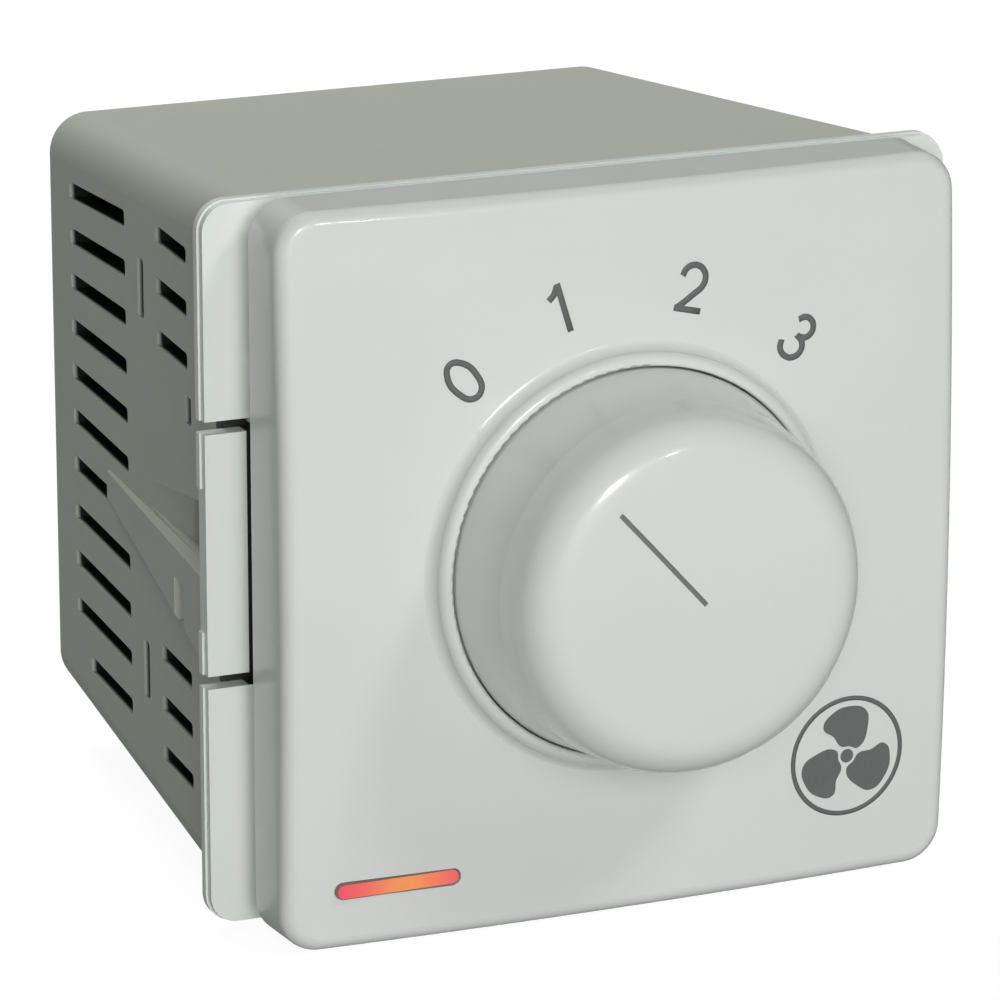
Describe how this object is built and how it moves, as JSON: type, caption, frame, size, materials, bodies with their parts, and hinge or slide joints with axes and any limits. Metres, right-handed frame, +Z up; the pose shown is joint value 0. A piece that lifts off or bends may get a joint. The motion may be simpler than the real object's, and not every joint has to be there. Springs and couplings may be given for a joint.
{
  "type": "fan speed control switch",
  "caption": "Flush rotary fan speed control: crowned square cover, tapered knob with detents, lit indicator bar, mounting frame and a vented moulded housing.",
  "frame": {"origin": "under the middle of the object, in the plane of the cover's lower rear edge", "axes": "+Z up as mounted, -Y out of the wall towards the user (the knob's side), +X to the right seen from the front; the knob's axis is parallel to Y"},
  "size_m": [0.0554, 0.066, 0.0515],
  "materials": {
    "cover_white": "polished white plastic",
    "knob_white": "polished white plastic",
    "frame_white": "polished white plastic",
    "housing_white": "fine satin moulding texture",
    "terminal_white": "satin",
    "lens_amber": "clear coloured light bar",
    "spring_steel": "drawn spring steel",
    "shaft_steel": "turned steel",
    "plated_steel": "bright zinc plate",
    "switch_phenolic": "moulded phenolic",
    "carrier_phenolic": "brown phenolic laminate",
    "contact_brass": "satin brass",
    "board_laminate": "single-sided paper laminate",
    "capacitor_case": "glossy moulded case",
    "resistor_body": "lacquered",
    "resistor_cement": "cement coated",
    "lamp_glass": "clear glass envelope"
  },
  "bodies": {
    "base": {"front_cover": "cover_white", "indicator_lens": "lens_amber", "mounting_frame": "frame_white", "rear_housing": "housing_white", "switch_body": "switch_phenolic", "contact_carrier": "carrier_phenolic", "switch_bushing": "contact_brass", "switch_nut": "plated_steel", "lock_washer": "plated_steel", "fixed_contacts": "contact_brass", "common_contact": "contact_brass", "detent_ball": "plated_steel", "detent_spring": "spring_steel", "circuit_board": "board_laminate", "speed_capacitor_1": "capacitor_case", "speed_capacitor_2": "capacitor_case", "bleed_resistors": "resistor_body", "surge_resistors": "resistor_cement", "neon_lamp": "lamp_glass", "lamp_resistor": "resistor_body", "terminal_block": "terminal_white", "terminal_clamps": "contact_brass", "terminal_screws": "plated_steel", "board_screws": "plated_steel", "housing_screws": "plated_steel"},
    "dial": {"knob": "knob_white", "knob_spring_clip": "spring_steel", "switch_shaft": "shaft_steel", "shaft_circlip": "spring_steel", "rotor": "switch_phenolic", "wiper": "contact_brass"}
  },
  "joints": [
    {"name": "knob_turn", "type": "hinge", "parent": "base", "child": "dial", "pos_m": [0, -0.02148, 0.02575], "axis": [0, 1, 0], "range_deg": [0, 84]}
  ]
}
